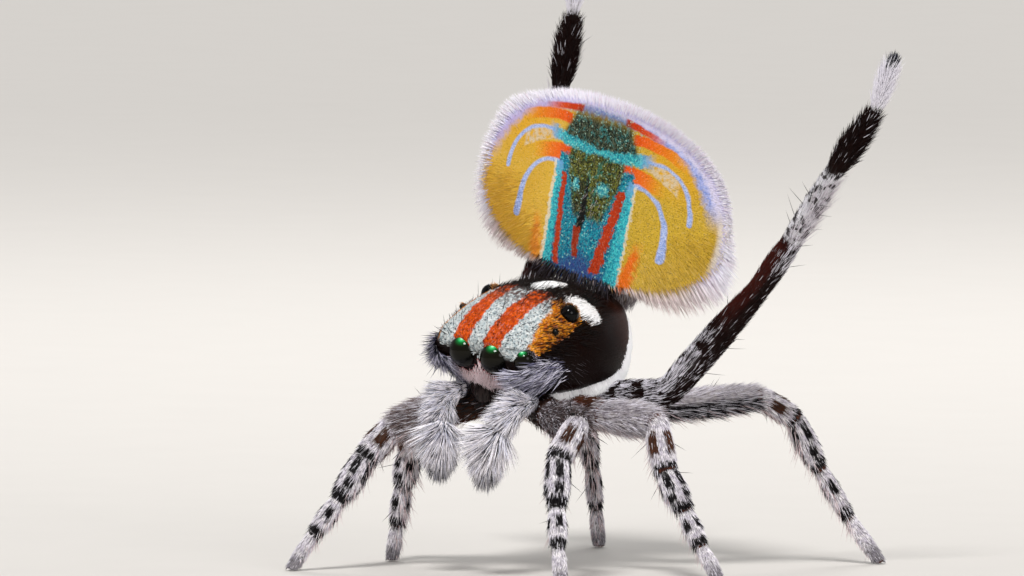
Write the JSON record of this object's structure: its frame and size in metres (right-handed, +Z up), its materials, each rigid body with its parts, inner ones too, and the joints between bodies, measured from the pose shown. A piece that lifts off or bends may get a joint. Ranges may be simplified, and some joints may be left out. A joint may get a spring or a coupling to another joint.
{
  "type": "peacock spider",
  "caption": "Male peacock spider in courtship display, standing on its feet with its fan spread upright and the third pair of legs raised.",
  "frame": {"origin": "on the floor, under the middle of the animal's box", "axes": "+Z up, the spider faces -Y, its own left side is +X"},
  "size_m": [0.0056, 0.0048, 0.0061],
  "materials": {
    "eye_lens": "polished dark lens, emerald glint",
    "fan_scales": "matt golden scales with a pale hair fringe",
    "plate_scales": "iridescent green, turquoise and red scales",
    "shield_scales": "speckled white and orange scales over glossy brown cuticle",
    "dark_cuticle": "glossy dark brown cuticle with pale hairs",
    "pale_cuticle": "pinkish cuticle with sparse hairs",
    "palp_hair": "long silver-white hair",
    "leg_hair": "grey and white hair with black bands",
    "dark_leg_hair": "black-brown hair with grey streaks"
  },
  "bodies": {
    "root": {"eye_front_middle_left": "eye_lens", "eye_front_middle_right": "eye_lens", "eye_front_side_left": "eye_lens", "eye_front_side_right": "eye_lens", "eye_small_left": "eye_lens", "eye_small_right": "eye_lens", "eye_rear_left": "eye_lens", "eye_rear_right": "eye_lens", "carapace": "shield_scales", "sternum": "dark_cuticle", "jaw_left": "pale_cuticle", "jaw_right": "pale_cuticle", "pedicel": "dark_cuticle", "abdomen": "plate_scales", "fan_flap_left": "fan_scales", "fan_flap_right": "fan_scales", "spinnerets": "leg_hair", "palp_left_arm": "palp_hair", "palp_left_tip": "palp_hair", "palp_right_arm": "palp_hair", "palp_right_tip": "palp_hair", "leg_1_left_femur": "dark_leg_hair", "leg_1_left_tibia": "leg_hair", "leg_1_left_metatarsus": "leg_hair", "leg_1_left_tarsus": "leg_hair", "leg_1_right_femur": "dark_leg_hair", "leg_1_right_tibia": "leg_hair", "leg_1_right_metatarsus": "leg_hair", "leg_1_right_tarsus": "leg_hair", "leg_2_left_femur": "dark_leg_hair", "leg_2_left_tibia": "leg_hair", "leg_2_left_metatarsus": "leg_hair", "leg_2_left_tarsus": "leg_hair", "leg_2_right_femur": "dark_leg_hair", "leg_2_right_tibia": "leg_hair", "leg_2_right_metatarsus": "leg_hair", "leg_2_right_tarsus": "leg_hair", "leg_3_left_femur": "dark_leg_hair", "leg_3_left_tibia": "leg_hair", "leg_3_left_metatarsus": "dark_leg_hair", "leg_3_left_tarsus": "leg_hair", "leg_3_right_femur": "dark_leg_hair", "leg_3_right_tibia": "leg_hair", "leg_3_right_metatarsus": "dark_leg_hair", "leg_3_right_tarsus": "leg_hair", "leg_4_left_femur": "dark_leg_hair", "leg_4_left_tibia": "leg_hair", "leg_4_left_metatarsus": "leg_hair", "leg_4_left_tarsus": "leg_hair", "leg_4_right_femur": "dark_leg_hair", "leg_4_right_tibia": "leg_hair", "leg_4_right_metatarsus": "leg_hair", "leg_4_right_tarsus": "leg_hair"}
  },
  "joints": []
}
